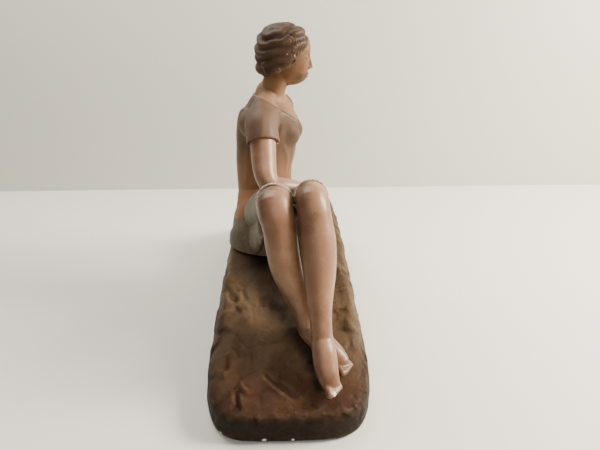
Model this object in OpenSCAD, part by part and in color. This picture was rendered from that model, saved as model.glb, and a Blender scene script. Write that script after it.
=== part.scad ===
// Painted plaster figure: a person in a blouse and skirt, seated on a long rock.
// The figure is cast in pieces that are keyed, pinned with iron and set in plaster.
// Millimetres. +Z is up, the rock runs along X with the feet at -X, and -Y is the front.

/* [Rock] */
// Length of the rock, from the foot end to the tail
base_length = 550; // [500:10:640]
// Width of the rock at its foot
base_width = 210; // [184:2:250]
// Squareness of the plan outline, 2 is an ellipse
base_squareness = 5.2; // [3:0.2:8]
// Height of the upright rim round the foot of the rock
rim_height = 34; // [26:1:40]
// How far the rock's flanks lean in from the rim to the top edge
flank_lean = 4; // [2:0.5:10]
// Height of the ledge that the feet rest on
ledge_height = 46; // [44:1:60]
// Height of the flat seat
seat_height = 110; // [98:1:124]
// Height of the rock where the leaning hand is planted
palm_height = 116; // [100:1:130]
// Height of the tail end of the rock
tail_height = 66; // [54:1:80]
// Thickness of the plaster in the rock
rock_wall = 12; // [9:0.5:16]
// Height of the bumps that the rock's surface has
rock_relief = 2.2; // [0:0.2:4]

/* [Underside] */
// Thickness of the felt under the rock
felt_thickness = 1.6; // [1:0.2:3]
// How far the felt stops short of the rock's outer edge
felt_inset = 4; // [2:0.5:8]
// Width of a wooden batten cast into the rock
batten_width = 28; // [18:1:36]
// Thickness of a wooden batten
batten_thickness = 9; // [6:1:11]
// Height of the battens' lower faces above the floor
batten_height = 8; // [6:0.5:10]
// Distance between the two battens
batten_spacing = 250; // [200:10:300]
// Diameter of the plaster dab that holds each end of a batten
dab_diameter = 42; // [34:1:48]

/* [Body] */
// Distance along X from the middle of the hips to the knee joints
thigh_reach = 118; // [108:1:128]
// Height of the knee joints above the seat
knee_rise = 112; // [102:1:120]
// Height of the waist joint above the seat
waist_rise = 88; // [80:1:96]
// Height of the neck joint above the waist joint
back_length = 130; // [120:1:140]
// Distance from the middle of the chest to a shoulder joint
shoulder_reach = 58; // [54:1:62]
// Height of the crown above the neck joint
head_height = 90; // [82:1:96]
// Width of the head and its hair
head_width = 64; // [58:1:70]
// Half width of a bare leg at the calf
calf_half_width = 20; // [17:0.5:22]
// Half width of a bare upper arm
arm_half_width = 16.5; // [13:0.5:17.5]

/* [Joints between castings] */
// Thickness of the plaster round the hollows of the torso and the skirt
cast_wall = 11; // [9:0.5:14]
// Gap left all round a tenon or a pin for the plaster that sets it
set_gap = 0.3; // [0.2:0.05:0.6]
// Diameter of the tenons on the arms
arm_tenon_diameter = 13; // [10:0.5:15]
// Diameter of the tenons on the legs
leg_tenon_diameter = 20; // [16:0.5:24]
// Length of the arm and leg tenons
tenon_length = 12; // [8:1:16]
// Diameter of the collar under the torso, which sits in the skirt
waist_collar_diameter = 46; // [40:1:50]
// Depth of the torso's collar in the skirt
waist_collar_depth = 8; // [6:1:10]
// Diameter of the neck's plug
neck_plug_diameter = 24; // [18:1:26]
// Depth of the neck's plug in the torso
neck_plug_depth = 10; // [8:1:12]

/* [Iron] */
// Diameter of the rod that runs from the rock up the back
back_rod_diameter = 10; // [7:0.5:12]
// Diameter of the rod in the neck
neck_rod_diameter = 6; // [4:0.5:7]
// Diameter of the wire pins in the arms, legs, hand and feet
wire_diameter = 4; // [3:0.5:5]
// Length of a wire pin in an arm or a leg
limb_pin_length = 56; // [50:2:62]
// Length of the pins under the hand and the feet
ground_pin_length = 20; // [16:1:22]

/* [Hidden] */

ring_sides = 24;
rock_sides = 84;
bore_sides = 48;
steps_per_span = 3;

rock_brown = "#5d4531";
skin_bronze = "#a98468";
blouse_brown = "#7b6350";
skirt_grey = "#5f564a";
iron_grey = "#4d4a48";
plaster_white = "#e6e2d8";
batten_pine = "#b58e5c";
felt_green = "#39463a";

// ---- directions and curves ----
function unit(v) = v / norm(v);
function between(a, b, share) = a + (b - a) * share;
function smooth(t) = let (c = min(1, max(0, t))) c * c * (3 - 2 * c);
function flat(lists) = [for (l = lists) for (e = l) e];
function rightward(turn) = [-sin(turn), cos(turn), 0];

// Smooth curve through the stations, value by value
function curve(a, b, c, d, t) =
    (2 * b + (c - a) * t + (2 * a - 5 * b + 4 * c - d) * t * t
     + (3 * b - a - 3 * c + d) * t * t * t) / 2;
function fair(list, steps = steps_per_span) =
    let (last = len(list) - 1)
    [for (k = [0 : last]) for (s = [0 : (k == last ? 0 : steps - 1)])
        let (a = list[max(k - 1, 0)], b = list[k], c = list[min(k + 1, last)],
             d = list[min(k + 2, last)], t = s / steps)
        [for (v = [0 : len(b) - 1]) curve(a[v], b[v], c[v], d[v], t)]];

// A station is [centre, direction of its width, half width, front depth, back depth]
function heading(list, k) = unit(list[min(k + 1, len(list) - 1)][0] - list[max(k - 1, 0)][0]);
function ring(station, along, sides) =
    let (wide = unit(station[1] - (station[1] * along) * along), deep = cross(along, wide))
    [for (i = [0 : sides - 1]) let (a = 360 * i / sides)
        station[0] + wide * station[2] * cos(a)
        + deep * (sin(a) > 0 ? station[3] : station[4]) * sin(a)];

// Skin over a list of rings that all have the same number of points
module skin(rings) {
    n = len(rings[0]);
    last = len(rings) - 1;
    sides = [for (k = [0 : last - 1]) for (i = [0 : n - 1])
        let (j = (i + 1) % n, a = k * n + i, b = k * n + j, c = a + n, d = b + n)
        for (f = [[a, c, d], [a, d, b]]) f];
    caps = [[for (i = [0 : n - 1]) i], [for (i = [0 : n - 1]) last * n + n - 1 - i]];
    polyhedron(points = flat(rings), faces = concat(sides, caps));
}

// Rounded body through the stations; its end faces are square to start_dir and end_dir
module limb(stations, start_dir, end_dir, sides = ring_sides) {
    path = fair(stations);
    last = len(path) - 1;
    skin([for (k = [0 : last])
        ring(path[k], k == 0 ? unit(start_dir) : k == last ? unit(end_dir) : heading(path, k), sides)]);
}

// Welds overlapping bodies into the one casting that leaves the mould
module casting() resize([0, 0, 0]) union() children();

// Round bar from a to b
module bar(a, b, d) {
    v = b - a;
    translate(a)
        rotate([0, acos(v[2] / norm(v)), atan2(v[1], v[0])])
            cylinder(h = norm(v), d = d, $fn = bore_sides);
}

// Hole for a round bar from a to b, with the setting gap all round and at both ends
module bore(a, b, d) {
    v = unit(b - a) * set_gap;
    bar(a - v, b + v, d + 2 * set_gap);
}

// ---- landmarks ----
half_l = base_length / 2;
half_w = base_width / 2;
foot_x = -half_l + 55;
tail_x = half_l - 60;
seat_front_x = -30;
palm = [148, 40];
palm_flat = 24;
hips = [8, 12, seat_height];
hips_turn = 14;
waist = [28, 29, seat_height + waist_rise];
waist_turn = 58;
neck_base = [waist[0] + 24.5, 20.5, waist[2] + back_length];
chest_turn = 78;
neck_dir = unit([-7.5, -13, 60]);
shoulder_mid = neck_base + [3.5, -0.5, -18];
right_shoulder = shoulder_mid + rightward(chest_turn) * shoulder_reach;
left_shoulder = shoulder_mid - rightward(chest_turn) * shoulder_reach;
right_elbow = right_shoulder + [-53, -5, -86];
left_elbow = [135, 22, seat_height + 96];
right_arm_dir = unit(right_elbow - right_shoulder);
left_arm_dir = unit(left_elbow - left_shoulder);
right_hem = between(right_shoulder, right_elbow, 0.42);
left_hem = between(left_shoulder, left_elbow, 0.42);
knee_joint = [hips[0] - thigh_reach, -9.5, seat_height + knee_rise];
knee_gap = calf_half_width + 1.5;
thigh_dir = unit([-0.82, 0, 0.57]);
right_knee = knee_joint + [0, knee_gap, 0];
left_knee = knee_joint - [0, knee_gap, 0];
left_ankle = [-half_l + 76, -39, ledge_height + 60];
right_ankle = [-half_l + 109, -19, ledge_height + 42];
left_ball = [-half_l + 35, -45, ledge_height + 12];
right_ball = [-half_l + 66, -59, ledge_height + 11];

// ---- rock ----
flat_share = 0.82;
// Height of the rock's back along its length
function spine(x) =
    x < foot_x ? ledge_height
    : x < seat_front_x ? ledge_height
        + (seat_height - ledge_height) * smooth((x - foot_x) / (seat_front_x - foot_x))
    : x < 88 ? seat_height
    : x < palm[0] - palm_flat ? seat_height
        + (palm_height - seat_height) * smooth((x - 88) / (palm[0] - palm_flat - 88))
    : palm_height + (tail_height - palm_height)
        * smooth((x - palm[0] - palm_flat) / (tail_x - palm[0] + 10));
function fall(share) =
    share < flat_share ? 1
    : pow(max(0, 1 - pow((share - flat_share) / (1 - flat_share), 1.5)), 0.9);
// Bumps die out over the seat, under the hand and under the feet
function quiet(p, c, r) = smooth((norm([p[0] - c[0], p[1] - c[1]]) - r) / 26);
function relief(p) = rock_relief * (sin(4.1 * p[0] + 2.3 * p[1]) * cos(1.7 * p[0] - 5.2 * p[1])
    + 0.6 * sin(7.3 * p[1] - 3.1 * p[0]))
    * quiet(p, hips, 88) * quiet(p, palm, palm_flat) * quiet(p, left_ball, 26) * quiet(p, right_ball, 24);
function outline(angle, inset) =
    let (c = cos(angle), s = sin(angle), e = 2 / base_squareness)
    [(half_l - inset) * sign(c) * pow(abs(c), e), (half_w - inset) * sign(s) * pow(abs(s), e)];
function level(z, inset) = [for (i = [0 : rock_sides - 1])
    let (q = outline(360 * i / rock_sides, inset)) [q[0], q[1], z]];
// One ring over the top, at a share of the way out from the middle to the edge
function crown(share, inset, drop) = [for (i = [0 : rock_sides - 1])
    let (o = outline(360 * i / rock_sides, flank_lean) * share,
         q = outline(360 * i / rock_sides, flank_lean + inset) * share,
         z = rim_height + (spine(o[0]) + relief(o) - rim_height) * fall(share))
    [q[0], q[1], z - drop]];

crown_shares = [0.985, 0.96, 0.93, 0.9, 0.87, 0.84, 0.8, 0.72, 0.6, 0.46, 0.3, 0.14];

module rock_form() skin(concat(
    [level(felt_thickness, 1.5), level(felt_thickness + 6, 0),
     level(rim_height - 6, flank_lean * 0.4), level(rim_height, flank_lean)],
    [for (s = crown_shares) crown(s, 0, 0)]));
module rock_hollow() skin(concat(
    [level(felt_thickness - 1, rock_wall), level(rim_height - rock_wall, rock_wall)],
    [for (s = crown_shares) crown(s, rock_wall, rock_wall)]));

module rock_base() color(rock_brown)
    difference() {
        rock_form();
        rock_hollow();
        bore(rod_foot, rod_top, back_rod_diameter);
        ground_bore(left_palm_pin);
        ground_bore(left_foot_mark);
        ground_bore(right_foot_mark);
    }
rock_base();

module base_felt() color(felt_green)
    linear_extrude(felt_thickness)
        polygon([for (i = [0 : rock_sides - 1]) outline(360 * i / rock_sides, felt_inset)]);
base_felt();

// ---- battens under the rock ----
batten_length = 2 * (half_w - rock_wall - 4);
module batten(x)
    translate([x - batten_width / 2, -batten_length / 2, batten_height])
        cube([batten_width, batten_length, batten_thickness]);
module front_batten() color(batten_pine) batten(-batten_spacing / 2);
front_batten();
module rear_batten() color(batten_pine) batten(batten_spacing / 2);
rear_batten();

// Each dab fills the corner between a batten's end and the rock's inner wall
module batten_dab(x, side)
    difference() {
        intersection() {
            translate([x, side * (batten_length / 2 - 2), batten_height - 3])
                cylinder(h = rim_height - rock_wall - batten_height + 3, d = dab_diameter, $fn = bore_sides);
            linear_extrude(rim_height)
                polygon([for (i = [0 : rock_sides - 1]) outline(360 * i / rock_sides, rock_wall)]);
        }
        batten(x);
    }
module batten_dabs() color(plaster_white)
    for (x = [-batten_spacing / 2, batten_spacing / 2])
        for (side = [-1, 1])
            batten_dab(x, side);
batten_dabs();

// ---- skirt ----
hip_stations = [
    [hips, rightward(hips_turn), 70, 54, 62],
    [hips + [0, 0, 28], rightward(hips_turn), 70, 52, 60],
    [between(hips + [0, 0, 28], waist, 0.56), rightward(36), 58, 42, 52],
    [waist, rightward(waist_turn), 45, 35, 44]];
hollow_stations = [for (s = [0.2, 0.36, 0.62, 0.8])
    [between(hips, waist, s), rightward(hips_turn + s * 44), 60 - 26 * s - cast_wall,
     48 - 16 * s - cast_wall, 50 - 14 * s - cast_wall]];
lap_stations = [
    [hips + [6, -2, 40], [0, 1, 0], 58, 34, 34],
    [between(hips + [6, -2, 40], knee_joint, 0.4), [0, 1, 0], 56, 32, 27],
    [between(hips + [6, -2, 40], knee_joint, 0.75), [0, 1, 0], 48, 27, 23],
    [knee_joint, [0, 1, 0], 2 * calf_half_width + 3, 24, 22]];

module skirt_form() casting()
    difference() {
        union() {
            limb(hip_stations, [0, 0, 1], [0, 0, 1]);
            limb(lap_stations, thigh_dir, thigh_dir);
        }
        translate([-base_length, -base_width, seat_height - base_width])
            cube([2 * base_length, 2 * base_width, base_width]);
        right_arm_form();
    }
module skirt() color(skirt_grey)
    difference() {
        skirt_form();
        limb(hollow_stations, [0, 0, 1], [0, 0, 1]);
        bore(waist, waist - [0, 0, waist_collar_depth], waist_collar_diameter);
        bore(rod_foot, rod_top, back_rod_diameter);
        bore(right_knee, right_knee - thigh_dir * tenon_length, leg_tenon_diameter);
        bore(left_knee, left_knee - thigh_dir * tenon_length, leg_tenon_diameter);
        knee_pin_bore(right_knee);
        knee_pin_bore(left_knee);
    }
skirt();

// ---- torso, a blouse with short sleeves ----
chest_mid = between(waist, shoulder_mid, 0.66);
torso_stations = [
    [waist, rightward(waist_turn), 45, 35, 44],
    [between(waist, shoulder_mid, 0.24) + [0, 2, 0], rightward(66), 43, 37, 47],
    [chest_mid + [0, 0, -12], rightward(chest_turn), 47, 44, 50],
    [chest_mid + [0, 0, 14], rightward(chest_turn), 53, 44, 50],
    [shoulder_mid, rightward(chest_turn), 51, 34, 42],
    [shoulder_mid + [-1, 0, 11], rightward(chest_turn), 34, 25, 30],
    [neck_base, rightward(chest_turn), 19.5, 19.5, 19.5]];
torso_hollow = [for (s = [0.16, 0.35, 0.6, 0.8])
    [between(waist, shoulder_mid, s), rightward(waist_turn + s * 24),
     42 - cast_wall, 35 - cast_wall, 36 - cast_wall]];
module sleeve(shoulder, hem, dir, inward)
    limb([[shoulder + inward * 20 + [0, 0, -4], [0, 1, 0], 22, 22, 22],
          [shoulder + inward * 4 + [0, 0, -5], [0, 1, 0], 23, 23, 23],
          [between(shoulder, hem, 0.5), [0, 1, 0], 22, 22, 22],
          [hem, [0, 1, 0], 21, 19, 20]], dir - inward, dir);

module torso_form() casting() {
    limb(torso_stations, [0, 0, 1], neck_dir);
    sleeve(right_shoulder, right_hem, right_arm_dir, -rightward(chest_turn));
    sleeve(left_shoulder, left_hem, left_arm_dir, rightward(chest_turn));
}
module torso() color(blouse_brown)
    difference() {
        union() {
            torso_form();
            bar(waist - [0, 0, waist_collar_depth], waist + [0, 0, 1], waist_collar_diameter);
        }
        limb(torso_hollow, [0, 0, 1], [0, 0, 1]);
        bore(rod_foot, rod_top, back_rod_diameter);
        bore(neck_base, neck_base - neck_dir * neck_plug_depth, neck_plug_diameter);
        bore(neck_base - neck_dir * neck_rod_below, neck_base, neck_rod_diameter);
        bore(right_hem, right_hem - right_arm_dir * tenon_length, arm_tenon_diameter);
        bore(left_hem, left_hem - left_arm_dir * tenon_length, arm_tenon_diameter);
        arm_pin_bore(right_hem, right_arm_dir);
        arm_pin_bore(left_hem, left_arm_dir);
    }
torso();

// ---- head and neck ----
crown_top = neck_base + [-12, -17, head_height];
function head_level(rise, half, front, back) =
    [[crown_top[0], crown_top[1] - 3 + rise * 4, neck_base[2] + 8 + rise * (head_height - 8)],
     [-1, 0, 0], half * head_width / 64, front, back];
head_stations = [head_level(0, 12, 8, 22), head_level(0.12, 23, 34, 26), head_level(0.33, 30, 38, 37),
    head_level(0.58, 32, 38, 40), head_level(0.8, 30, 34, 36), head_level(0.94, 20, 20, 24),
    head_level(1, 8, 7, 9)];
module head_form() casting() {
    limb([[neck_base, rightward(chest_turn), 19.5, 19.5, 19.5],
          [neck_base + neck_dir * 12 + [0, -2, 0], rightward(84), 17.5, 18, 19],
          [neck_base + neck_dir * 30 + [0, -3, 0], rightward(90), 18, 19, 19]],
         neck_dir, [0, 0, 1]);
    limb(head_stations, [0, 0, 1], [0, 0, 1]);
}
module head() color(skin_bronze)
    difference() {
        union() {
            head_form();
            bar(neck_base - neck_dir * neck_plug_depth, neck_base + neck_dir, neck_plug_diameter);
        }
        bore(neck_base - neck_dir * neck_rod_below, neck_base + neck_dir * neck_rod_above,
             neck_rod_diameter);
    }
head();

// ---- arms ----
right_wrist = [right_elbow[0] + 10, right_elbow[1] - 42, right_elbow[2] - 11];
right_palm = right_wrist + [9, -22, -6];
right_arm_stations = [
    [right_hem, [0, 1, 0], arm_half_width, 16.5, 16.5],
    [between(right_hem, right_elbow, 0.5), [0, 1, 0], arm_half_width - 0.5, 15.5, 15.5],
    [right_elbow + [-1, -4, 4], [0, 0.6, 0.8], 14, 14, 14],
    [right_elbow + [3, -18, -3], [0, 0, 1], 13.5, 13.5, 13.5],
    [right_wrist, [0, 0, 1], 9.5, 11, 11],
    [right_palm, [0, 0, 1], 8, 14, 14],
    [right_palm + [8, -17, -5], [0, 0, 1], 5, 10, 10]];
module right_arm_form() limb(right_arm_stations, right_arm_dir, [0.4, -0.9, -0.2]);
module right_arm() color(skin_bronze)
    difference() {
        union() {
            right_arm_form();
            bar(right_hem - right_arm_dir * tenon_length, right_hem + right_arm_dir, arm_tenon_diameter);
        }
        arm_pin_bore(right_hem, right_arm_dir);
    }
right_arm();

left_wrist = [palm[0] - 3, palm[1] - 4, palm_height + 26];
left_arm_stations = [
    [left_hem, [1, 0, 0], arm_half_width, 15.5, 15.5],
    [between(left_hem, left_elbow, 0.5), [1, 0, 0], arm_half_width - 0.5, 14.5, 14.5],
    [left_elbow, [1, 0, 0], 13.5, 14, 14],
    [between(left_elbow, left_wrist, 0.4), [1, 0, 0], 13, 13, 13],
    [left_wrist, [1, 0, 0], 10.5, 10, 10],
    [[palm[0], palm[1], palm_height + 12], [1, 0, 0], 16, 15, 15],
    [[palm[0], palm[1] + 2, palm_height], [1, 0, 0], 19, 18, 18]];
module left_arm() color(skin_bronze)
    difference() {
        union() {
            limb(left_arm_stations, left_arm_dir, [0, 0, -1]);
            bar(left_hem - left_arm_dir * tenon_length, left_hem + left_arm_dir, arm_tenon_diameter);
        }
        arm_pin_bore(left_hem, left_arm_dir);
        ground_bore(left_palm_pin);
    }
left_arm();

// ---- legs, each a knee, a shin and a foot ----
module leg_form(knee, ankle, heel, instep, ball, toe) casting() {
    shin_top = knee + [-23, 0, -8];
    limb([[knee, [0, -1, 0], calf_half_width, 20, 20],
          [knee + [-11, 0, 4.5], [0, -1, 0], calf_half_width + 0.5, 20, 20.5],
          [shin_top, [0, -1, 0], calf_half_width + 0.5, 19, 19],
          [between(shin_top, ankle, 0.24), [0, -1, 0], calf_half_width, 18, 20],
          [between(shin_top, ankle, 0.48), [0, -1, 0], calf_half_width - 1, 17, 20],
          [between(shin_top, ankle, 0.78), [0, -1, 0], 14, 13, 14],
          [ankle, [0, -1, 0], 12.5, 12.5, 13],
          [between(ankle, heel, 0.8), [0, -1, 0], 12.5, 12, 12]],
         thigh_dir, [0, 0, -1]);
    difference() {
        limb([[heel, [0, -1, 0], 9, 9, 9],
              [between(heel, instep, 0.25), [0, -1, 0], 12.5, 13, 13],
              [instep, [0, -1, 0], 14, 14, 14],
              [between(instep, ball, 0.6), [0, -1, 0], 16, 11, 12],
              [ball, [0, -1, 0], 17, 11, 17],
              [toe, [0, -1, 0], 9, 7, 10]],
             instep - heel, toe - ball);
        translate([-base_length, -base_width, 0])
            cube([2 * base_length, 2 * base_width, ledge_height]);
    }
}
module right_leg_form()
    leg_form(right_knee, right_ankle, right_ankle + [8, 4, -16], right_ankle + [-14, -15, -14],
             right_ball, right_ball + [-14, -10, -5]);
// The left foot is bedded over the right one
module left_leg_form() casting()
    difference() {
        leg_form(left_knee, left_ankle, left_ankle + [6, -1, -16], left_ankle + [-15, -2, -20],
                 left_ball, left_ball + [-18, -4, -5]);
        right_leg_form();
    }
module leg(knee, mark) color(skin_bronze)
    difference() {
        union() {
            casting() difference() {
                children();
                rock_form();
            }
            bar(knee - thigh_dir * tenon_length, knee + thigh_dir, leg_tenon_diameter);
        }
        knee_pin_bore(knee);
        ground_bore(mark);
    }
module right_leg() leg(right_knee, right_foot_mark) right_leg_form();
right_leg();
module left_leg() leg(left_knee, left_foot_mark) left_leg_form();
left_leg();

// ---- iron ----
dab_depth = 14;
rod_foot = [36, 25, seat_height - rock_wall - dab_depth - 6];
rod_top = [36, 25, shoulder_mid[2] - 9];
module back_rod() color(iron_grey) bar(rod_foot, rod_top, back_rod_diameter);
back_rod();
module back_rod_dab() color(plaster_white)
    difference() {
        translate([rod_foot[0], rod_foot[1], seat_height - rock_wall - dab_depth])
            cylinder(h = dab_depth, d = dab_diameter, $fn = bore_sides);
        bar(rod_foot, rod_top, back_rod_diameter);
    }
back_rod_dab();

neck_rod_below = 14;
neck_rod_above = 38;
module neck_rod() color(iron_grey)
    bar(neck_base - neck_dir * neck_rod_below, neck_base + neck_dir * neck_rod_above, neck_rod_diameter);
neck_rod();

pin_share = 0.42;
module arm_pin_bore(hem, dir)
    bore(hem - dir * limb_pin_length * pin_share, hem + dir * limb_pin_length * (1 - pin_share),
         wire_diameter);
module arm_pin(hem, dir) color(iron_grey)
    bar(hem - dir * limb_pin_length * pin_share, hem + dir * limb_pin_length * (1 - pin_share),
        wire_diameter);
module right_arm_pin() arm_pin(right_hem, right_arm_dir);
right_arm_pin();
module left_arm_pin() arm_pin(left_hem, left_arm_dir);
left_arm_pin();

knee_pin_ahead = 14;
module knee_pin_bore(knee)
    bore(knee - thigh_dir * (limb_pin_length - knee_pin_ahead), knee + thigh_dir * knee_pin_ahead,
         wire_diameter);
module knee_pin(knee) color(iron_grey)
    bar(knee - thigh_dir * (limb_pin_length - knee_pin_ahead), knee + thigh_dir * knee_pin_ahead,
        wire_diameter);
module right_knee_pin() knee_pin(right_knee);
right_knee_pin();
module left_knee_pin() knee_pin(left_knee);
left_knee_pin();

// Pins that stand half in the rock and half in a foot or a hand
left_palm_pin = [palm[0], palm[1], palm_height];
left_foot_mark = [left_ball[0], left_ball[1], ledge_height];
right_foot_mark = [right_ball[0], right_ball[1], ledge_height];
module ground_bore(at)
    bore(at - [0, 0, ground_pin_length * 0.45], at + [0, 0, ground_pin_length * 0.55], wire_diameter);
module ground_pin(at) color(iron_grey)
    bar(at - [0, 0, ground_pin_length * 0.45], at + [0, 0, ground_pin_length * 0.55], wire_diameter);
module right_foot_pin() ground_pin(right_foot_mark);
right_foot_pin();
module left_foot_pin() ground_pin(left_foot_mark);
left_foot_pin();
module left_hand_pin() ground_pin(left_palm_pin);
left_hand_pin();
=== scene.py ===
import math
import bpy
import bmesh
import numpy as np
from mathutils import Matrix, Vector


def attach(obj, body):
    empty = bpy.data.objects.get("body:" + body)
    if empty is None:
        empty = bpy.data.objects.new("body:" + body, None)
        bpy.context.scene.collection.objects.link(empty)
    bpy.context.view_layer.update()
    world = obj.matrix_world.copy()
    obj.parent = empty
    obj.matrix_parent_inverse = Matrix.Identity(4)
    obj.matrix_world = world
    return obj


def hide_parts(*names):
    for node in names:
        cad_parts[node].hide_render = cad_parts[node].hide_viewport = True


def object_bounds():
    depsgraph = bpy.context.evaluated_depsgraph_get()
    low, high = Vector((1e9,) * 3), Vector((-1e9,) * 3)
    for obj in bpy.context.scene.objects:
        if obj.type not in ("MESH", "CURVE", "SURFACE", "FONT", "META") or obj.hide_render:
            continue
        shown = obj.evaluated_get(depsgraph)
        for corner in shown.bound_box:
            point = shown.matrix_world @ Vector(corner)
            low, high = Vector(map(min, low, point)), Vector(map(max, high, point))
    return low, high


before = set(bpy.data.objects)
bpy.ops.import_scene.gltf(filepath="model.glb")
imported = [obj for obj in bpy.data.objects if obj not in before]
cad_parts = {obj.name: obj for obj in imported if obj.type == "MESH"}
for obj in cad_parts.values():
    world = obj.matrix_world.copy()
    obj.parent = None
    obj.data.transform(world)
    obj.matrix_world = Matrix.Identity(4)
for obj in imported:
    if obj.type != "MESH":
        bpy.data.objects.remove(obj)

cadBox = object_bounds()
low, high = Vector(cadBox[0]), Vector(cadBox[1])
underside = Vector(((low.x + high.x) / 2, (low.y + high.y) / 2, low.z))
millimetre = 0.001


def at(x, y, z):   # a place in millimetres from the middle of the underside
    return underside + Vector((x, y, z)) * millimetre


# ---------- clay: rounded bodies that are welded, smoothed and then tooled ----------

def fair(stations, steps):   # smooth curve through the stations
    out = []
    last = len(stations) - 1
    for k in range(last + 1):
        a, b = stations[max(k - 1, 0)], stations[k]
        c, d = stations[min(k + 1, last)], stations[min(k + 2, last)]
        for s in range(steps if k < last else 1):
            t = s / steps
            out.append([(2 * q + (r - p) * t + (2 * p - 5 * q + 4 * r - w) * t * t
                         + (3 * q - p - 3 * r + w) * t * t * t) / 2
                        for p, q, r, w in zip(a, b, c, d)])
    return out


def limb(bm, stations, wide, sides=28, steps=4, roundStart=True, roundEnd=True):
    # each station is x, y, z of the centre, half width, front depth and back depth;
    # wide is the direction of the width, or one direction a station
    wides = wide if isinstance(wide, list) else [wide] * len(stations)
    rows = fair([list(s) + list(w) for s, w in zip(stations, wides)], steps)
    centres = [Vector(r[:3]) for r in rows]
    rings = []
    for k, r in enumerate(rows):
        along = (centres[min(k + 1, len(rows) - 1)] - centres[max(k - 1, 0)]).normalized()
        rings.append([centres[k], along, Vector(r[6:9]), r[3], r[4], r[5]])

    def dome(ring, sign):
        caps = []
        reach = min(ring[3], (ring[4] + ring[5]) / 2)
        for angle in (25, 50, 70, 84):
            c, s = math.cos(math.radians(angle)), math.sin(math.radians(angle))
            caps.append([ring[0] + ring[1] * reach * s * sign, ring[1], ring[2],
                         ring[3] * c, ring[4] * c, ring[5] * c])
        return caps

    if roundStart:
        rings = dome(rings[0], -1)[::-1] + rings
    if roundEnd:
        rings = rings + dome(rings[-1], 1)
    before = None
    for k, (centre, along, wideDir, half, front, back) in enumerate(rings):
        across = (wideDir - along * wideDir.dot(along)).normalized()
        deep = along.cross(across)
        turn = Matrix((across, deep, along)).transposed().to_4x4()
        ends = k in (0, len(rings) - 1)
        made = bmesh.ops.create_circle(bm, segments=sides, radius=1, cap_ends=ends)["verts"]
        for v in made:
            v.co = Vector((v.co.x * half, v.co.y * (front if v.co.y > 0 else back), 0))
            v.co = underside + (turn @ v.co + centre) * millimetre
        edges = list({e for v in made for e in v.link_edges})
        if before:
            bmesh.ops.bridge_loops(bm, edges=before + edges)
        before = edges


def ball(bm, centre, radii):
    size = Matrix.Diagonal([r * millimetre for r in radii] + [1])
    bmesh.ops.create_uvsphere(bm, u_segments=24, v_segments=14, radius=1,
                              matrix=Matrix.Translation(at(*centre)) @ size)


def weld(name, bm, grain):
    # one skin over all the overlapping bodies, on a grid of the given grain in millimetres
    bmesh.ops.recalc_face_normals(bm, faces=bm.faces)
    rough = bpy.data.meshes.new(name + "_rough")
    bm.to_mesh(rough)
    bm.free()
    holder = bpy.data.objects.new(name + "_rough", rough)
    bpy.context.scene.collection.objects.link(holder)
    remesh = holder.modifiers.new("Weld", "REMESH")
    remesh.mode = "VOXEL"
    remesh.voxel_size = grain * millimetre
    remesh.adaptivity = 0
    skin = bpy.data.meshes.new_from_object(holder.evaluated_get(bpy.context.evaluated_depsgraph_get()))
    skin.name = name
    bpy.data.objects.remove(holder)
    bpy.data.meshes.remove(rough)
    piece = bpy.data.objects.new(name, skin)
    bpy.context.scene.collection.objects.link(piece)
    return clayOf(piece)


def clayOf(piece):
    mesh = piece.data
    co = np.zeros(len(mesh.vertices) * 3)
    mesh.vertices.foreach_get("co", co)
    ends = np.zeros(len(mesh.edges) * 2, np.int32)
    mesh.edges.foreach_get("vertices", ends)
    count = np.bincount(ends, minlength=len(mesh.vertices)).astype(float)
    clay = {"piece": piece, "co": (co.reshape(-1, 3) - np.array(underside)) / millimetre,
            "ends": ends.reshape(-1, 2), "count": np.maximum(count, 1)[:, None]}
    refresh(clay)
    return clay


def refresh(clay):   # put the points back in the mesh and read its normals
    mesh = clay["piece"].data
    mesh.vertices.foreach_set("co", (clay["co"] * millimetre + np.array(underside)).ravel())
    mesh.update()
    normal = np.zeros(len(mesh.vertices) * 3)
    mesh.vertex_normals.foreach_get("vector", normal)
    clay["normal"] = normal.reshape(-1, 3)


def meanStep(clay, values):
    total = np.zeros_like(values)
    a, b = clay["ends"][:, 0], clay["ends"][:, 1]
    for c in range(values.shape[1]):
        total[:, c] = np.bincount(a, values[b, c], len(values)) + np.bincount(b, values[a, c], len(values))
    return total / clay["count"] - values


def soften(clay, passes, share=None):   # evens out the clay without shrinking it
    weight = 1 if share is None else share[:, None]
    for _ in range(passes):
        clay["co"] += 0.55 * weight * meanStep(clay, clay["co"])
        clay["co"] -= 0.57 * weight * meanStep(clay, clay["co"])
    refresh(clay)


def relax(clay, passes, share=None):   # evens it out and lets it shrink
    weight = 1 if share is None else share[:, None]
    for _ in range(passes):
        clay["co"] += 0.5 * weight * meanStep(clay, clay["co"])
    refresh(clay)


def falloff(distance):
    t = np.clip(1 - distance ** 2, 0, 1)
    return t * t


def dab(clay, centre, radii, lift, push=None):
    # presses clay on (lift > 0) or in (lift < 0), round the centre, along the normals or a push
    radii = np.array(radii if isinstance(radii, (tuple, list)) else (radii,) * 3, float)
    weight = falloff(np.linalg.norm((clay["co"] - np.array(centre, float)) / radii, axis=1))
    way = clay["normal"] if push is None else np.array(push, float) / np.linalg.norm(push)
    clay["co"] += way * (weight * lift)[:, None]


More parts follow.
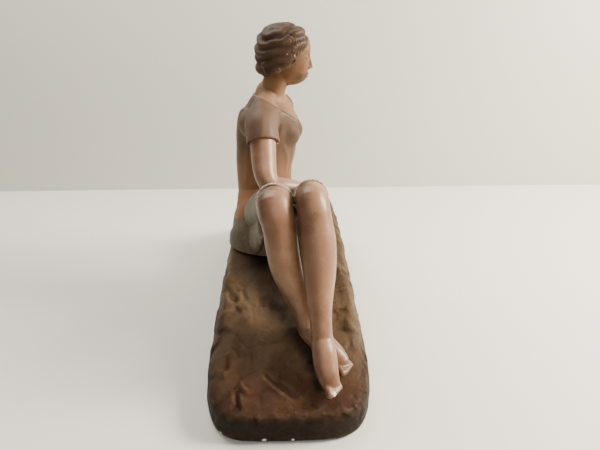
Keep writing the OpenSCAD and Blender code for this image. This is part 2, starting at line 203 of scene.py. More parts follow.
def toPath(clay, path):   # distance to a path that is first laid on the surface, and the share along it
    points = []
    for p in path:
        points.append(clay["co"][np.argmin(np.sum((clay["co"] - np.array(p, float)) ** 2, axis=1))])
    if len(points) > 2:
        points = [np.array(p) for p in fair([list(p) for p in points], 4)]
    best = np.full(len(clay["co"]), 1e9)
    share = np.zeros(len(clay["co"]))
    for k in range(len(points) - 1):
        a, v = points[k], points[k + 1] - points[k]
        t = np.clip(((clay["co"] - a) @ v) / max(v @ v, 1e-9), 0, 1)
        d = np.linalg.norm(clay["co"] - a - t[:, None] * v, axis=1)
        near = d < best
        best[near] = d[near]
        share[near] = (k + t[near]) / (len(points) - 1)
    return best, share


def fold(clay, path, width, lift):
    # a soft ridge (lift > 0) or groove (lift < 0) that dies out at both ends
    distance, share = toPath(clay, path)
    ends = np.sqrt(np.clip(np.sin(np.pi * share), 0, 1))
    clay["co"] += clay["normal"] * (np.exp(-(distance / width) ** 2) * ends * lift)[:, None]


def mask(clay, name, values):   # a painted mask, stored on the points
    layer = clay["piece"].data.attributes.new(name, "FLOAT", "POINT")
    layer.data.foreach_set("value", np.clip(values, 0, 1).astype(np.float32))


hollowShadeAndWearSize = {"passes": 10, "deep": 0.9}   # a hollow this many millimetres deep gets the full painted shade


def hollowShadeAndWear(clay):   # masks of the hollows, for painted shade, and of the raised edges, for wear
    even = clay["co"].copy()
    for _ in range(hollowShadeAndWearSize["passes"]):
        even += 0.5 * meanStep(clay, even)
    sunk = np.sum((even - clay["co"]) * clay["normal"], axis=1) / hollowShadeAndWearSize["deep"]
    mask(clay, "hollow", sunk)
    mask(clay, "edge", -sunk)


def finish(clay, paint, slot, *nodes):
    refresh(clay)
    hollowShadeAndWear(clay)
    piece = clay["piece"]
    piece.data.shade_smooth()
    piece.data.materials.clear()
    piece.data.materials.append(paint)
    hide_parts(*nodes)
    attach(piece, "root")
    print("made", piece.name, len(piece.data.polygons), "faces")


# ---------- paints and other finishes ----------

def tone(red, green, blue):   # a colour as the eye sees it, 0 to 255
    return tuple((v / 255 / 12.92 if v < 11 else ((v / 255 + 0.055) / 1.055) ** 2.4)
                 for v in (red, green, blue)) + (1,)


def add(tree, kind, inputs=None, **settings):
    made = tree.nodes.new("ShaderNode" + kind)
    for key, value in settings.items():
        setattr(made, key, value)
    for key, value in (inputs or {}).items():
        if isinstance(value, bpy.types.NodeSocket):
            tree.links.new(value, made.inputs[key])
        else:
            made.inputs[key].default_value = value
    return made


def calc(tree, operation, first, second=0.0, clamp=False):
    return add(tree, "Math", {0: first, 1: second}, operation=operation, use_clamp=clamp).outputs[0]


def mix(tree, share, first, second):
    return add(tree, "Mix", {0: share, 6: first, 7: second}, data_type="RGBA").outputs[2]


def spread(tree, value, low, high, first=0.0, last=1.0):
    return add(tree, "MapRange", {"Value": value, "From Min": low, "From Max": high, "To Min": first,
                                  "To Max": last}, interpolation_type="SMOOTHSTEP").outputs[0]


def noise(tree, scale, detail=3.0, roughness=0.55, vector=None):
    vector = vector or add(tree, "TexCoord").outputs["Object"]
    return add(tree, "TexNoise", {"Vector": vector, "Scale": scale, "Detail": detail,
                                  "Roughness": roughness}).outputs[0]


def attribute(tree, name):
    return add(tree, "Attribute", attribute_name=name).outputs["Fac"]


def group(name, inputs, outputs):
    tree = bpy.data.node_groups.new(name, "ShaderNodeTree")
    for label, kind in inputs:
        tree.interface.new_socket(label, in_out="INPUT", socket_type="NodeSocket" + kind)
    for label, kind in outputs:
        tree.interface.new_socket(label, in_out="OUTPUT", socket_type="NodeSocket" + kind)
    return tree, tree.nodes.new("NodeGroupInput").outputs, tree.nodes.new("NodeGroupOutput").inputs


def place(tree, shared, inputs):
    made = tree.nodes.new("ShaderNodeGroup")
    made.node_tree = shared
    for key, value in inputs.items():
        if isinstance(value, bpy.types.NodeSocket):
            tree.links.new(value, made.inputs[key])
        else:
            made.inputs[key].default_value = value
    return made.outputs


def brushedPaint():   # thin paint over plaster: cloudy, with the grain of the brush in it
    tree, given, out = group("brushedPaint", [("Paint", "Color"), ("Shade", "Color"), ("Light", "Color"),
                                              ("Scale", "Float"), ("Grain", "Float")],
                             [("Colour", "Color"), ("Height", "Float")])
    cloud = noise(tree, given["Scale"], 4)
    fine = noise(tree, given["Grain"], 4, 0.7)
    speck = noise(tree, calc(tree, "MULTIPLY", given["Grain"], 3.1), 2)
    colour = mix(tree, spread(tree, cloud, 0.5, 0.28), given["Paint"], given["Shade"])
    colour = mix(tree, spread(tree, cloud, 0.52, 0.78), colour, given["Light"])
    colour = mix(tree, calc(tree, "MULTIPLY", spread(tree, fine, 0.5, 0.75), 0.4), colour, given["Light"])
    colour = mix(tree, calc(tree, "MULTIPLY", spread(tree, speck, 0.46, 0.25), 0.45), colour, given["Shade"])
    tree.links.new(colour, out["Colour"])
    tree.links.new(calc(tree, "ADD", fine, calc(tree, "MULTIPLY", speck, 0.5)), out["Height"])
    return tree


def rubbedEdge():   # where hands have rubbed the paint off the raised edges
    tree, given, out = group("rubbedEdge", [("Edge", "Float"), ("Amount", "Float"), ("Scale", "Float")],
                             [("Rubbed", "Float"), ("Bare", "Float")])
    patch = noise(tree, given["Scale"], 5, 0.65)
    worn = calc(tree, "ADD", calc(tree, "MULTIPLY", given["Edge"], given["Amount"]),
                calc(tree, "MULTIPLY", calc(tree, "SUBTRACT", patch, 0.5), 0.9))
    speck = noise(tree, calc(tree, "MULTIPLY", given["Scale"], 4.0), 3, 0.6)
    bare = calc(tree, "MULTIPLY", spread(tree, worn, 0.5, 0.62), spread(tree, speck, 0.5, 0.58))
    tree.links.new(spread(tree, worn, 0.12, 0.6), out["Rubbed"])
    tree.links.new(bare, out["Bare"])
    return tree


def chipAt():   # one knocked place with a ragged outline
    tree, given, out = group("chipAt", [("Place", "Vector"), ("Radius", "Float")], [("Chip", "Float")])
    here = add(tree, "TexCoord").outputs["Object"]
    away = add(tree, "VectorMath", {0: here, 1: given["Place"]}, operation="DISTANCE").outputs["Value"]
    ragged = calc(tree, "MULTIPLY", calc(tree, "SUBTRACT", noise(tree, 650, 3), 0.5), 1.5)
    reach = calc(tree, "ADD", calc(tree, "DIVIDE", away, given["Radius"]), ragged)
    tree.links.new(spread(tree, reach, 1.0, 0.8), out["Chip"])
    return tree


brushed, rubbed, chipped = brushedPaint(), rubbedEdge(), chipAt()
bareWhite = tone(214, 206, 192)


def painted(name, look):
    # paint in thin coats over plaster: a cloudy ground, airbrushed layers and layers of painted light and
    # shade, painted shade in the hollows, rubbed edges, and chips down to the white plaster
    paint = bpy.data.materials.new(name)
    paint.use_nodes = True
    tree = paint.node_tree
    shader = tree.nodes["Principled BSDF"]
    ground = place(tree, brushed, {
        "Paint": tone(*look["paint"]), "Shade": tone(*look["shade"]), "Light": tone(*look["light"]),
        "Scale": look["cloud"], "Grain": look["grain"]})
    colour = ground["Colour"]
    waver = noise(tree, 38, 3)
    for layer, tint, share in look["layers"]:
        strength = calc(tree, "MULTIPLY", attribute(tree, layer),
                        spread(tree, waver, 0.3, 0.7, share * 0.8, share), clamp=True)
        colour = mix(tree, strength, colour, tone(*tint))
    # painted shade in the hollows: darker where the surface sinks
    hollowShadeAmount = calc(tree, "MULTIPLY", attribute(tree, "hollow"), look["hollowShadeAmount"], clamp=True)
    colour = mix(tree, hollowShadeAmount, colour, tone(*look["hollowShadeColour"]))
    wornOff = place(tree, rubbed, {"Edge": attribute(tree, "edge"), "Amount": look["worn"], "Scale": 90.0})
    # rubbed paint shows less where shade is painted
    unshaded = calc(tree, "SUBTRACT", 1.0, attribute(tree, "shade"), clamp=True)
    rubOff = calc(tree, "MULTIPLY", calc(tree, "MULTIPLY", wornOff["Rubbed"], look["rub"]), unshaded)
    colour = mix(tree, rubOff, colour, tone(*look["rubTone"]))
    bare = calc(tree, "MULTIPLY", wornOff["Bare"], look["bare"])
    for centre, radius in look["chips"]:
        chip = place(tree, chipped, {"Place": at(*centre), "Radius": radius * millimetre})
        bare = calc(tree, "MAXIMUM", bare, chip["Chip"])
    colour = mix(tree, bare, colour, bareWhite)
    tree.links.new(colour, shader.inputs["Base Color"])
    satin = spread(tree, ground["Height"], 0.45, 1.0, look["satin"][0], look["satin"][1])
    tree.links.new(calc(tree, "ADD", satin, calc(tree, "MULTIPLY", bare, 0.4), clamp=True),
                   shader.inputs["Roughness"])
    shader.inputs["Specular IOR Level"].default_value = look["gloss"]
    shader.inputs["Specular Tint"].default_value = tone(255, 226, 196)
    shader.inputs["Coat Weight"].default_value = look["wax"]
    shader.inputs["Coat Roughness"].default_value = 0.26
    depth = calc(tree, "SUBTRACT", ground["Height"], calc(tree, "MULTIPLY", bare, 2.5))
    bump = add(tree, "Bump", {"Strength": look["bump"], "Distance": 0.0004, "Height": depth})
    if "knife" in look:   # small scoops that the knife left
        here = add(tree, "TexCoord").outputs["Object"]
        drift = add(tree, "VectorMath", {0: here, 1: add(tree, "TexNoise", {
            "Vector": here, "Scale": 30.0}).outputs["Color"]}, operation="ADD").outputs[0]
        scoop = add(tree, "TexVoronoi", {"Vector": drift, "Scale": look["knife"]}).outputs["Distance"]
        dip = calc(tree, "MULTIPLY", scoop, scoop)
        cut = add(tree, "Bump", {"Strength": 0.5, "Distance": 0.003, "Height": dip})
        tree.links.new(cut.outputs[0], bump.inputs["Normal"])
    tree.links.new(bump.outputs[0], shader.inputs["Normal"])
    return paint


skinLook = {
    "paint": (136, 100, 76), "shade": (112, 80, 60), "light": (160, 124, 98),
    "cloud": 26.0, "grain": 330.0,
    "layers": [("rosy", (124, 76, 58), 0.6), ("shade", (66, 44, 33), 0.9)],
    "hollowShadeColour": (59, 36, 26), "hollowShadeAmount": 0.75, "worn": 0.7, "rub": 0.35, "rubTone": (188, 153, 122), "bare": 0.55,
    "chips": [((-257, -50, 53), 2.6), ((-143, -41, 226), 1.5), ((-139, -33, 232), 1.1)],
    "satin": (0.36, 0.5), "gloss": 0.45, "wax": 0.2, "bump": 0.25,
}
headLook = {
    "paint": (100, 71, 48), "shade": (85, 57, 38), "light": (117, 85, 61),
    "cloud": 30.0, "grain": 420.0,
    "layers": [("neck", (124, 92, 66), 0.8), ("blush", (114, 64, 44), 0.7), ("lips", (79, 36, 27), 0.85),
               ("hair", (40, 27, 18), 1.0), ("crest", (63, 44, 31), 0.6), ("drawn", (33, 21, 14), 0.85)],
    "hollowShadeColour": (23, 14, 10), "hollowShadeAmount": 0.8, "worn": 0.5, "rub": 0.4, "rubTone": (109, 84, 62), "bare": 0.8,
    "chips": [((30, -22, 404), 1.9), ((13, 4, 388), 1.2), ((12, -4, 383), 1.3), ((14, -9, 378), 1.0)],
    "satin": (0.45, 0.62), "gloss": 0.25, "wax": 0.06, "bump": 0.35,
}
blouseLook = {
    "paint": (73, 55, 42), "shade": (58, 42, 31), "light": (92, 71, 57),
    "cloud": 24.0, "grain": 360.0,
    "layers": [("sleeve", (96, 74, 58), 0.7), ("bronze", (113, 77, 52), 0.9), ("bare", (126, 93, 67), 0.9),
               ("rim", (157, 123, 97), 0.8)],
    "hollowShadeColour": (37, 24, 17), "hollowShadeAmount": 0.8, "worn": 0.6, "rub": 0.35, "rubTone": (138, 108, 84), "bare": 0.5,
    "chips": [((-18, 10, 270), 2.6)],
    "satin": (0.46, 0.64), "gloss": 0.22, "wax": 0.05, "bump": 0.4,
}
skirtLook = {
    "paint": (82, 73, 59), "shade": (62, 54, 44), "light": (102, 93, 79),
    "cloud": 28.0, "grain": 340.0,
    "layers": [("bronze", (127, 86, 59), 0.92), ("lit", (113, 104, 92), 0.6), ("hem", (192, 163, 132), 0.95)],
    "hollowShadeColour": (33, 25, 18), "hollowShadeAmount": 0.85, "worn": 0.8, "rub": 0.35, "rubTone": (131, 117, 98), "bare": 0.7,
    "chips": [((-96, 39, 160), 2.4)],
    "satin": (0.48, 0.64), "gloss": 0.24, "wax": 0.04, "bump": 0.45,
}
rockLook = {
    "paint": (80, 62, 44), "shade": (58, 43, 30), "light": (100, 80, 58),
    "cloud": 14.0, "grain": 260.0,
    "layers": [("umber", (52, 23, 11), 0.75), ("rim", (10, 5, 3), 0.97), ("shade", (11, 5, 3), 0.96),
               ("inside", (190, 180, 162), 1.0)],
    "hollowShadeColour": (30, 17, 9), "hollowShadeAmount": 0.5, "worn": 0.3, "rub": 0.4, "rubTone": (111, 88, 64), "bare": 0.1,
    "chips": [((-214, 78, 52), 3.4), ((-274, 28, 6), 3.0), ((-275, -4, 5), 2.2), ((-262, 76, 6), 2.6)],
    "satin": (0.42, 0.6), "gloss": 0.14, "wax": 0.03, "bump": 0.7,
    "knife": 95.0,
}
skinPaint = painted("skinPaint", skinLook)
headPaint = painted("headPaint", headLook)
blousePaint = painted("blousePaint", blouseLook)
skirtPaint = painted("skirtPaint", skirtLook)
rockPaint = painted("rockPaint", rockLook)


def plain(name, roughness):
    finishHere = bpy.data.materials.new(name)
    finishHere.use_nodes = True
    shader = finishHere.node_tree.nodes["Principled BSDF"]
    shader.inputs["Roughness"].default_value = roughness
    return finishHere, finishHere.node_tree, shader


def makeFelt():   # pressed wool: matted fibres that lie every way
    cloth, tree, shader = plain("feltCloth", 0.95)
    ground = place(tree, brushed, {"Paint": tone(58, 70, 58), "Shade": tone(44, 54, 45),
                                   "Light": tone(78, 90, 76), "Scale": 60.0, "Grain": 900.0})
    here = add(tree, "TexCoord").outputs["Object"]
    fibres = 0.0
    for turn in (0.3, 1.4, 2.4):
        lay = add(tree, "Mapping", {"Vector": here, "Rotation": (0, 0, turn), "Scale": (1, 9, 1)}).outputs[0]
        fibres = calc(tree, "ADD", fibres, noise(tree, 420, 3, 0.6, lay))
    colour = mix(tree, spread(tree, fibres, 1.5, 1.9, 0, 0.6), ground["Colour"], tone(104, 114, 98))
    tree.links.new(colour, shader.inputs["Base Color"])
    shader.inputs["Sheen Weight"].default_value = 0.4
    shader.inputs["Sheen Roughness"].default_value = 0.6
    bump = add(tree, "Bump", {"Strength": 0.8, "Distance": 0.0006, "Height": fibres})
    tree.links.new(bump.outputs[0], shader.inputs["Normal"])
    return cloth


def makeWood():   # sawn softwood, the grain along the batten
    wood, tree, shader = plain("battenPine", 0.7)
    here = add(tree, "TexCoord").outputs["Object"]
    along = add(tree, "Mapping", {"Vector": here, "Scale": (1, 0.07, 1)}).outputs[0]
    rings = noise(tree, 150, 3, 0.5, along)
    fibre = noise(tree, 900, 4, 0.7, along)
    knots = noise(tree, 14, 1, 0.5)
    colour = mix(tree, spread(tree, rings, 0.4, 0.62), tone(196, 158, 108), tone(150, 106, 62))
    colour = mix(tree, spread(tree, fibre, 0.5, 0.8, 0, 0.5), colour, tone(116, 80, 46))
    colour = mix(tree, spread(tree, knots, 0.68, 0.78), colour, tone(92, 58, 34))
    tree.links.new(colour, shader.inputs["Base Color"])
    bump = add(tree, "Bump", {"Strength": 0.5, "Distance": 0.0004, "Height": fibre})
    tree.links.new(bump.outputs[0], shader.inputs["Normal"])
    return wood


def makeIron():   # black bar with rust where the wet plaster touched it
    iron, tree, shader = plain("blackIron", 0.5)
    rust = spread(tree, noise(tree, 120, 5, 0.65), 0.45, 0.62)
    pits = noise(tree, 1100, 3)
    colour = mix(tree, rust, tone(62, 60, 60), tone(122, 70, 42))
    tree.links.new(mix(tree, spread(tree, pits, 0.5, 0.7, 0, 0.6), colour, tone(70, 38, 24)),
                   shader.inputs["Base Color"])
    tree.links.new(spread(tree, rust, 0, 1, 0.85, 0.05), shader.inputs["Metallic"])
    tree.links.new(spread(tree, rust, 0, 1, 0.42, 0.9), shader.inputs["Roughness"])
    bump = add(tree, "Bump", {"Strength": 0.5, "Distance": 0.0002, "Height": pits})
    tree.links.new(bump.outputs[0], shader.inputs["Normal"])
    return iron


def makePlaster():   # bare casting plaster with pin holes and trowel grain
    plaster, tree, shader = plain("barePlaster", 0.88)
    ground = place(tree, brushed, {"Paint": tone(222, 216, 202), "Shade": tone(196, 186, 168),
                                   "Light": tone(236, 231, 220), "Scale": 40.0, "Grain": 500.0})
    holes = spread(tree, noise(tree, 700, 1), 0.3, 0.22)
    tree.links.new(mix(tree, holes, ground["Colour"], tone(120, 108, 90)), shader.inputs["Base Color"])
    height = calc(tree, "SUBTRACT", ground["Height"], calc(tree, "MULTIPLY", holes, 3.0))
    bump = add(tree, "Bump", {"Strength": 0.6, "Distance": 0.0004, "Height": height})
    tree.links.new(bump.outputs[0], shader.inputs["Normal"])
    return plaster


feltCloth, battenPine, blackIron, barePlaster = makeFelt(), makeWood(), makeIron(), makePlaster()
inner = (
    (battenPine, ("front_batten", "rear_batten")),
    (barePlaster, ("batten_dabs", "back_rod_dab")),
    (blackIron, ("back_rod", "neck_rod", "right_arm_pin", "left_arm_pin", "right_knee_pin", "left_knee_pin",
                 "right_foot_pin", "left_foot_pin", "left_hand_pin")),
)
for look, names in inner:
    for name in names:
        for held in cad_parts[name].material_slots:
            held.material = look
print("finishes made")


# ---------- head and hair ----------

headSize = {
    "grain": 0.72,
    "middle": 40,       # the face looks along -Y from here
    "skull": ((40, 2, 385), (26, 34, 29)),
    "eyeHeight": 375.5,
    "eyeApart": 10.2,   # a face is five eyes wide
    "noseBase": 360.5,
    "mouthHeight": 352.4,
    "waveGap": 21,      # degrees from one wave of hair to the next
    "waveHeight": 1.1,
    "strands": 52,
    "strandHeight": 0.2,
    "scale": 1.06,
}


def shapeHead():
    s = headSize
    mid, h = s["middle"], s["eyeHeight"]
    bm = bmesh.new()
    ball(bm, *s["skull"])
    # the mask of the face, from under the chin to the top of the forehead
    limb(bm, [(mid, -4, 344, 5, 18.5, 3), (mid, -4, 347.5, 10, 22.8, 8), (mid, -4, 353, 15.5, 24.4, 14),
              (mid, -4, 362, 20.4, 25.8, 22), (mid, -4, 372, 23.4, 26.4, 26), (mid, -4, 382, 24.4, 28.4, 26),
              (mid, -4, 391, 23.6, 27.4, 24), (mid, -2, 398, 18, 22, 20)], (-1, 0, 0), 40, 5, True, False)
    limb(bm, [(mid, -28.5, 380, 2.6, 3, 3), (mid, -29.8, 374, 2.3, 3, 3), (mid, -31.6, 367, 2.6, 3, 3),
              (mid, -32.4, 363.4, 2.7, 3, 3)], (1, 0, 0), 16)
    ball(bm, (mid, -32.4, 363), (2.8, 3.2, 2.6))
    for side in (-1, 1):
        ball(bm, (mid + side * 2.8, -30.2, 362), (2.0, 3.0, 2.1))      # nostril wing
    limb(bm, [(54, 22, 314, 21, 20, 20), (52, 19, 326, 18.5, 18, 19.5), (48, 13, 340, 17, 16.5, 19.5),
              (44, 9, 354, 17.5, 17, 19), (42, 6, 366, 18, 18, 18)], (-1, 0, 0))

    hair = [((40, 4, 388.5), (28.5, 35, 28.5)), ((40, 21, 381), (27, 19.5, 24)),
            ((40, 26, 364), (22, 14, 12.5)), ((40, -6.5, 402.5), (24, 19.5, 10.8)),
            ((17.5, 8, 380), (6.5, 20, 18)), ((62.5, 8, 380), (6.5, 20, 18)),
            ((19.5, 17, 365), (7.5, 14, 10.5)), ((60.5, 17, 365), (7.5, 14, 10.5)),
            ((18.5, -7, 386), (5.5, 8, 9)), ((61.5, -7, 386), (5.5, 8, 9)),
            ((18, -5.5, 373.5), (3.2, 3.4, 5)), ((62, -5.5, 373.5), (3.2, 3.4, 5))]
    for centre, radii in hair:
        ball(bm, centre, radii)
    clay = weld("head_and_hair", bm, s["grain"])

    p = clay["co"]
    depth = np.full(len(p), 9.0)
    for centre, radii in hair:   # hair is wherever the skin lies on one of the hair's own bodies
        r = np.array(radii, float)
        depth = np.minimum(depth, (np.linalg.norm((p - np.array(centre, float)) / r, axis=1) - 1) * r.min())
    hairy = (depth < 0.3).astype(float)[:, None]
    for _ in range(4):
        hairy += 0.5 * meanStep(clay, hairy)
    hairy = np.clip(hairy[:, 0] * 1.4 - 0.2, 0, 1)
    soften(clay, 6, 1 - 0.5 * hairy)
    relax(clay, 7, 1 - hairy)
    relax(clay, 3, hairy)

    nose, mouth = s["noseBase"], s["mouthHeight"]
    for side in (-1, 1):
        eye = mid + side * s["eyeApart"]
        dab(clay, (eye - side * 0.6, -29, h + 0.6), (9, 9, 6.4), -2.7)          # socket
        dab(clay, (mid + side * 5, -30, h + 1), (4, 6, 5), -0.7)
        dab(clay, (mid + side * 14, -24, 364.5), (9, 10, 8), 1.0)               # cheekbone
        dab(clay, (mid + side * 15, -14, 350), (9, 12, 9), -1.2)
    refresh(clay)
    for side in (-1, 1):
        eye = mid + side * s["eyeApart"]
        dab(clay, (eye, -26.5, h - 0.2), (6.2, 7, 4.9), 2.3)                    # eyeball under its lids
    dab(clay, (mid, -29, mouth), (10, 7, 6.5), 1.7)                             # round of the mouth
    dab(clay, (mid, -27, 344.5), (7, 8, 5.5), 1.3)                                  # chin
    dab(clay, (mid, -30, 347.4), (8, 6, 2.8), -0.45)
    refresh(clay)
    relax(clay, 2, 1 - hairy)
    for side in (-1, 1):
        eye = mid + side * s["eyeApart"]
        fold(clay, [(eye - 5, -26, h - 0.4), (eye, -29, h + 2.5), (eye + 5, -26, h - 0.1)], 0.85, 0.6)
        fold(clay, [(eye - 4.4, -26, h - 1.2), (eye, -29, h - 2.8), (eye + 4.4, -26, h - 0.9)], 0.85, 0.5)
        fold(clay, [(eye - 5, -26, h + 1.4), (eye, -28, h + 4.2), (eye + 5, -26, h + 1.7)], 0.75, -0.5)
        fold(clay, [(eye - 6.2 + side, -27, h + 6.4), (eye + side * 1, -29, h + 8.4),
                    (eye + side * 7, -26, h + 6.8)], 1.8, 0.55)
        fold(clay, [(mid + side * 4.4, -30, nose + 3.2), (mid + side * 5.2, -30, nose + 0.6),
                    (mid + side * 3.6, -31, nose - 0.8)], 0.8, -0.5)
        dab(clay, (mid + side * 1.8, -34, nose - 1), 1.3, -0.7)                 # nostril
    fold(clay, [(mid - 7, -29, mouth + 0.9), (mid - 2.4, -31, mouth + 2.2), (mid, -31, mouth + 1.8),
                (mid + 2.4, -31, mouth + 2.2), (mid + 7, -29, mouth + 0.9)], 1.1, 0.6)
    fold(clay, [(mid - 6, -29, mouth - 1.3), (mid, -31, mouth - 2.6), (mid + 6, -29, mouth - 1.3)],
         1.25, 0.65)
    refresh(clay)
    fold(clay, [(mid - 7.8, -28, mouth - 0.1), (mid - 3, -31, mouth), (mid, -32, mouth - 0.2),
                (mid + 3, -31, mouth), (mid + 7.8, -28, mouth - 0.1)], 0.65, -0.85)
    fold(clay, [(mid, -31, nose - 2.2), (mid, -31, mouth + 3.4)], 1.1, -0.35)
    relax(clay, 1, 0.7 * (1 - hairy))
    fold(clay, [(26, 2, 352), (34, -4, 338), (44, 0, 324)], 2.6, 0.8)            # cords of the neck
    fold(clay, [(60, 6, 350), (57, -2, 336), (53, 2, 324)], 2.6, 0.7)

    # waves run round the head from the crown, and the strands swing with them
    refresh(clay)
    p = clay["co"]
    v = p - np.array((mid, 8.0, 378.0))
    axis = np.array((-0.25, 0.1, 1.0))
    axis /= np.linalg.norm(axis)
    height = v @ axis
    level = v - height[:, None] * axis
    away = np.degrees(np.arctan2(np.linalg.norm(level, axis=1), height))
    around = np.arctan2(level[:, 1], level[:, 0])
    phase = away / s["waveGap"] + 0.2 * np.sin(2 * around + 0.6) + 0.09 * np.sin(5 * around)
    wave = np.sin(2 * np.pi * phase)
    crest = np.sign(wave) * np.abs(wave) ** 0.75
    swing = around + 0.065 * np.sin(2 * np.pi * phase + 0.9)
    strand = 1 - 2 * np.abs(np.sin(s["strands"] / 2 * swing + 1.1 * np.sin(9 * around)))
    lift = s["waveHeight"] * crest + s["strandHeight"] * strand * np.clip(away / 30, 0.1, 1)
    clay["co"] = p + clay["normal"] * (hairy * lift * np.clip((away - 6) / 30, 0.15, 1))[:, None]
    refresh(clay)
    mask(clay, "hair", hairy)
    mask(clay, "crest", hairy * (0.5 + 0.5 * crest))
    redden = np.zeros(len(p))
    for side in (-1, 1):
        redden += falloff(np.linalg.norm((p - np.array((mid + side * 14, -21, 362.0))) / 11, axis=1))
    lips = falloff(np.linalg.norm((p - np.array((mid, -31.5, mouth - 0.2))) / np.array((8, 6, 4.2)), axis=1))
    drawn = np.zeros(len(p))
    for side in (-1, 1):
        eye = mid + side * s["eyeApart"]
        lash, _ = toPath(clay, [(eye - 5, -26, h - 0.6), (eye, -29, h - 1.2), (eye + 5, -26, h - 0.4)])
        brow, share = toPath(clay, [(eye - 6.4, -27, h + 6.4), (eye, -29, h + 8.2),
                                    (eye + 6.6, -26, h + 6.8)])
        drawn += np.exp(-(lash / 0.8) ** 2) + 0.8 * np.exp(-(brow / 1.1) ** 2) * np.sqrt(
            np.clip(np.sin(np.pi * share), 0, 1))
    mask(clay, "drawn", drawn * (1 - hairy))
    mask(clay, "neck", np.clip((352 - p[:, 2]) / 10, 0, 1) * np.clip((p[:, 1] + 24) / 10, 0, 1) * (1 - hairy))
    mask(clay, "blush", redden * 0.6)
    mask(clay, "lips", np.clip(lips * 1.8, 0, 1) * (1 - hairy))
    above = np.clip((clay["co"][:, 2] - 334) / 22, 0, 1)[:, None]
    clay["co"] += above * ((clay["co"] - np.array((mid, 8, 345))) * (s["scale"] - 1) + np.array((0, -2.0, 0)))
    finish(clay, headPaint, "head_paint", "head")


shapeHead()


# ---------- blouse ----------

blouseSize = {
    "grain": 1.3,
    "rightHem": (-23.5, 30, 272.5),
    "leftHem": (122.5, 14, 267),
    "nape": 313.4,        # height of the neckline at the back of the neck
    "neckFall": 0.56,     # how far the neckline falls for each millimetre forward
    "neckSpread": 0.25,   # and for each millimetre in from the sides
    "edge": 0.9,
    "proud": 1.3,
}


